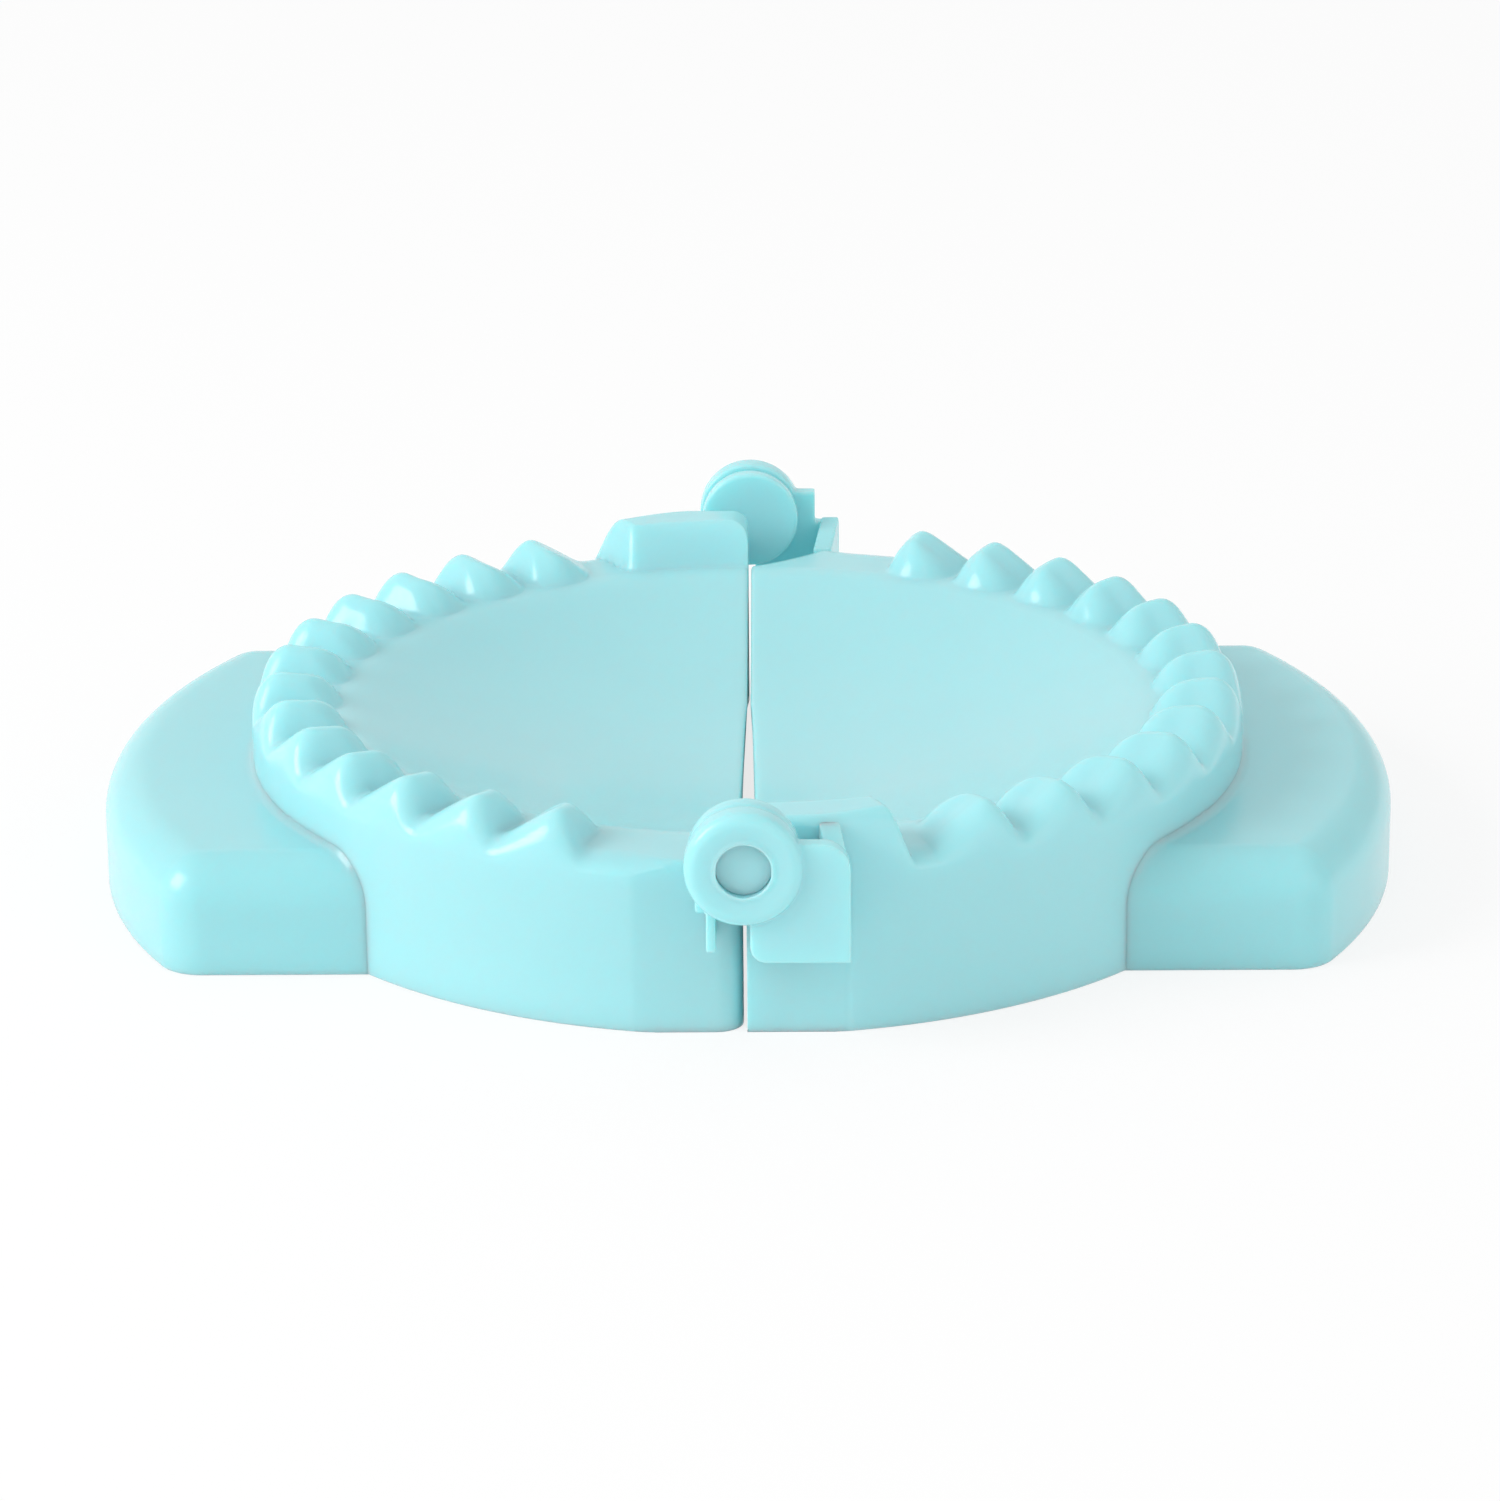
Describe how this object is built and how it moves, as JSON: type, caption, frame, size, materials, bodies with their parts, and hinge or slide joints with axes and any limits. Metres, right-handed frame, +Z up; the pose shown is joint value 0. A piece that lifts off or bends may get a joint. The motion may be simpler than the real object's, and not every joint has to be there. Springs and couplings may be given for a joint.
{
  "type": "empanada press",
  "caption": "Hinged round dough press, lying open: half bowls with interlocking crimping teeth, a raised closing pad and a flat handle on each half.",
  "frame": {"origin": "on the table, under the middle of the hinge line, with the press lying open", "axes": "+X to the right handle, square to the hinge line; +Y along the hinge line to the back; +Z up from the table"},
  "size_m": [0.13, 0.115, 0.0249],
  "materials": {
    "aqua_plastic": "pale aqua moulded plastic, satin gloss, a little translucent"
  },
  "bodies": {
    "left_half": {"left_dish": "aqua_plastic", "left_skirt": "aqua_plastic", "left_parting_wall": "aqua_plastic", "left_closing_pad": "aqua_plastic", "left_crimp_teeth": "aqua_plastic", "left_handle": "aqua_plastic", "front_hinge_hub": "aqua_plastic", "back_hinge_hub": "aqua_plastic", "front_pivot_pin": "aqua_plastic", "back_pivot_pin": "aqua_plastic"},
    "right_half": {"right_dish": "aqua_plastic", "right_skirt": "aqua_plastic", "right_parting_wall": "aqua_plastic", "right_closing_pad": "aqua_plastic", "right_crimp_teeth": "aqua_plastic", "right_handle": "aqua_plastic", "front_hinge_ear": "aqua_plastic", "back_hinge_ear": "aqua_plastic"}
  },
  "joints": [
    {"name": "fold", "type": "hinge", "parent": "left_half", "child": "right_half", "pos_m": [0, 0, 0.01925], "axis": [0, -1, 0], "range_deg": [0, 180]}
  ]
}
